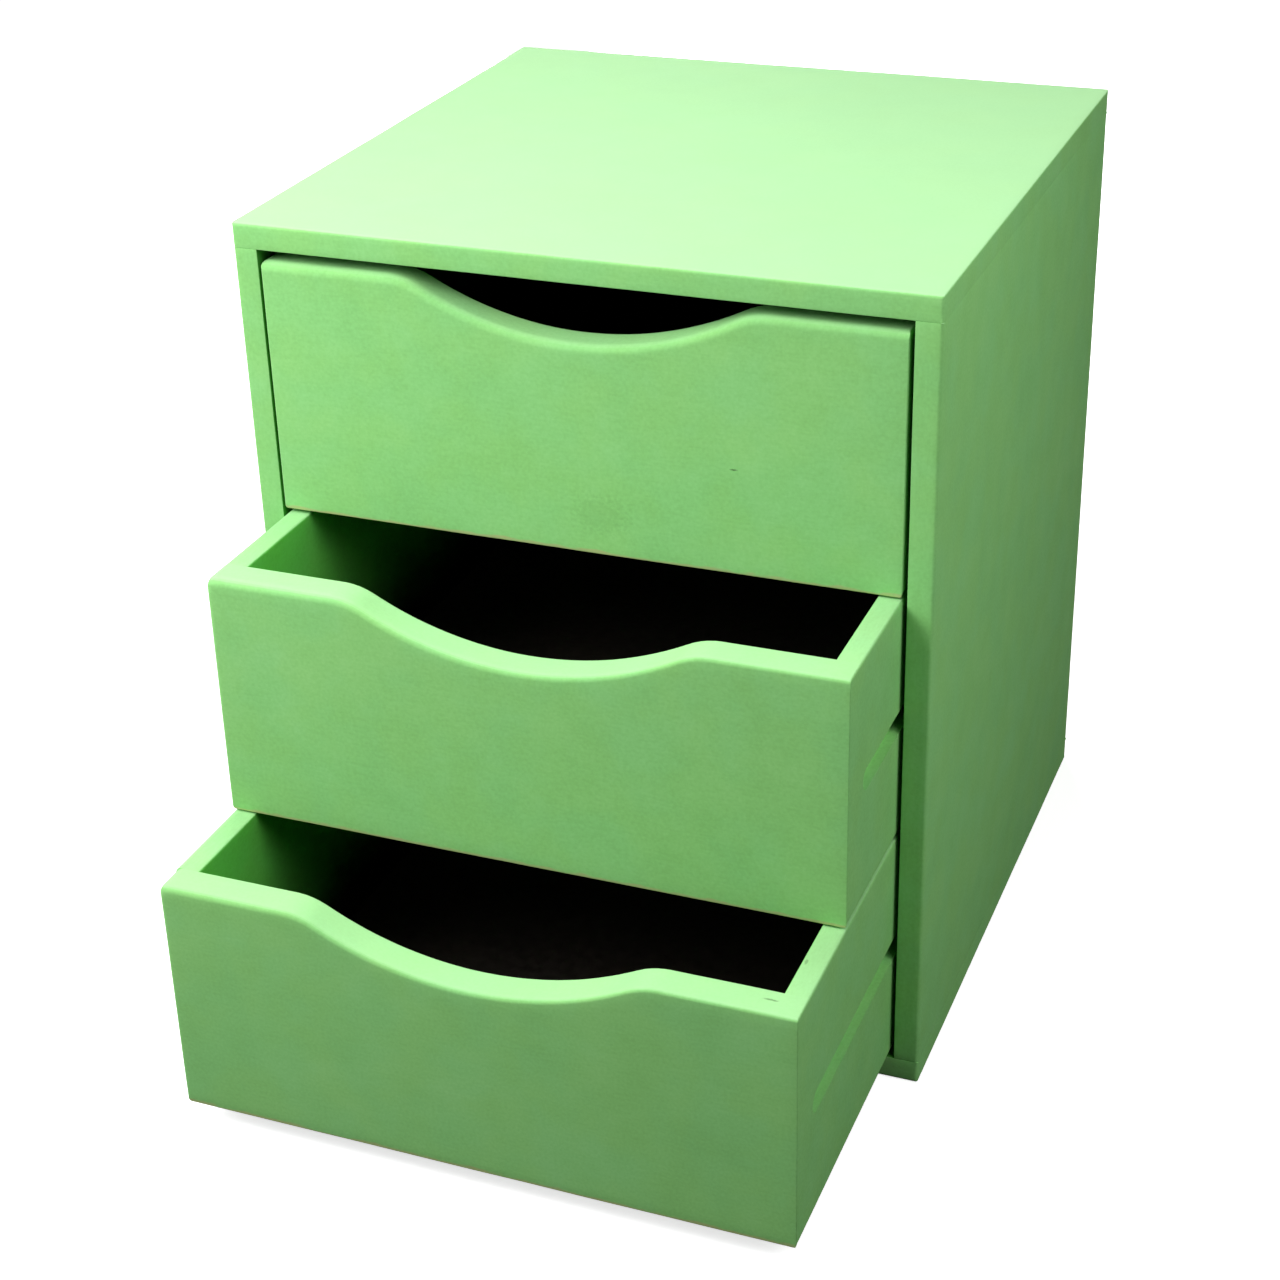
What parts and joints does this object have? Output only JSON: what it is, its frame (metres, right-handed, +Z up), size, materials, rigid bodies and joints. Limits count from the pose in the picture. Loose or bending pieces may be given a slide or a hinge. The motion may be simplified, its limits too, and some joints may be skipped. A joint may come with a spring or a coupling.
{
  "type": "mini chest of drawers",
  "caption": "Tabletop chest of painted board with stacked inset drawers on wooden runners, each front with a bowl-shaped finger scoop in its top edge.",
  "frame": {"origin": "centre of the case's base, on the surface that it stands on", "axes": "+Z up, the front faces -Y, +X to the right as seen from the front"},
  "size_m": [0.25, 0.3567, 0.302],
  "materials": {
    "painted_board": "light green brushed paint, satin, slightly worn on the edges",
    "drawer_sheet": "dark brown hardboard, smooth face",
    "back_sheet": "brown hardboard, bare",
    "runner_wood": "bare softwood, planed",
    "dowel_wood": "bare beech",
    "pin_steel": "bright steel"
  },
  "bodies": {
    "case": {"top_panel": "painted_board", "bottom_panel": "painted_board", "left_side_panel": "painted_board", "right_side_panel": "painted_board", "back_panel": "back_sheet", "case_dowels": "dowel_wood", "back_panel_pins": "pin_steel", "runner_pins": "pin_steel", "bottom_left_runner": "runner_wood", "bottom_right_runner": "runner_wood", "middle_left_runner": "runner_wood", "middle_right_runner": "runner_wood", "top_left_runner": "runner_wood", "top_right_runner": "runner_wood"},
    "top_drawer": {"top_drawer_front": "painted_board", "top_drawer_right_side": "painted_board", "top_drawer_left_side": "painted_board", "top_drawer_back": "painted_board", "top_drawer_bottom": "drawer_sheet", "top_drawer_dowels": "dowel_wood", "top_drawer_bottom_pins": "pin_steel"},
    "middle_drawer": {"middle_drawer_front": "painted_board", "middle_drawer_right_side": "painted_board", "middle_drawer_left_side": "painted_board", "middle_drawer_back": "painted_board", "middle_drawer_bottom": "drawer_sheet", "middle_drawer_dowels": "dowel_wood", "middle_drawer_bottom_pins": "pin_steel"},
    "bottom_drawer": {"bottom_drawer_front": "painted_board", "bottom_drawer_right_side": "painted_board", "bottom_drawer_left_side": "painted_board", "bottom_drawer_back": "painted_board", "bottom_drawer_bottom": "drawer_sheet", "bottom_drawer_dowels": "dowel_wood", "bottom_drawer_bottom_pins": "pin_steel"}
  },
  "joints": [
    {"name": "top_drawer_slide", "type": "slide", "parent": "case", "child": "top_drawer", "axis": [0, -1, 0], "range_m": [0, 0.18]},
    {"name": "middle_drawer_slide", "type": "slide", "parent": "case", "child": "middle_drawer", "axis": [0, -1, 0], "range_m": [-0.0576, 0.1224]},
    {"name": "bottom_drawer_slide", "type": "slide", "parent": "case", "child": "bottom_drawer", "axis": [0, -1, 0], "range_m": [-0.1087, 0.0713]}
  ]
}
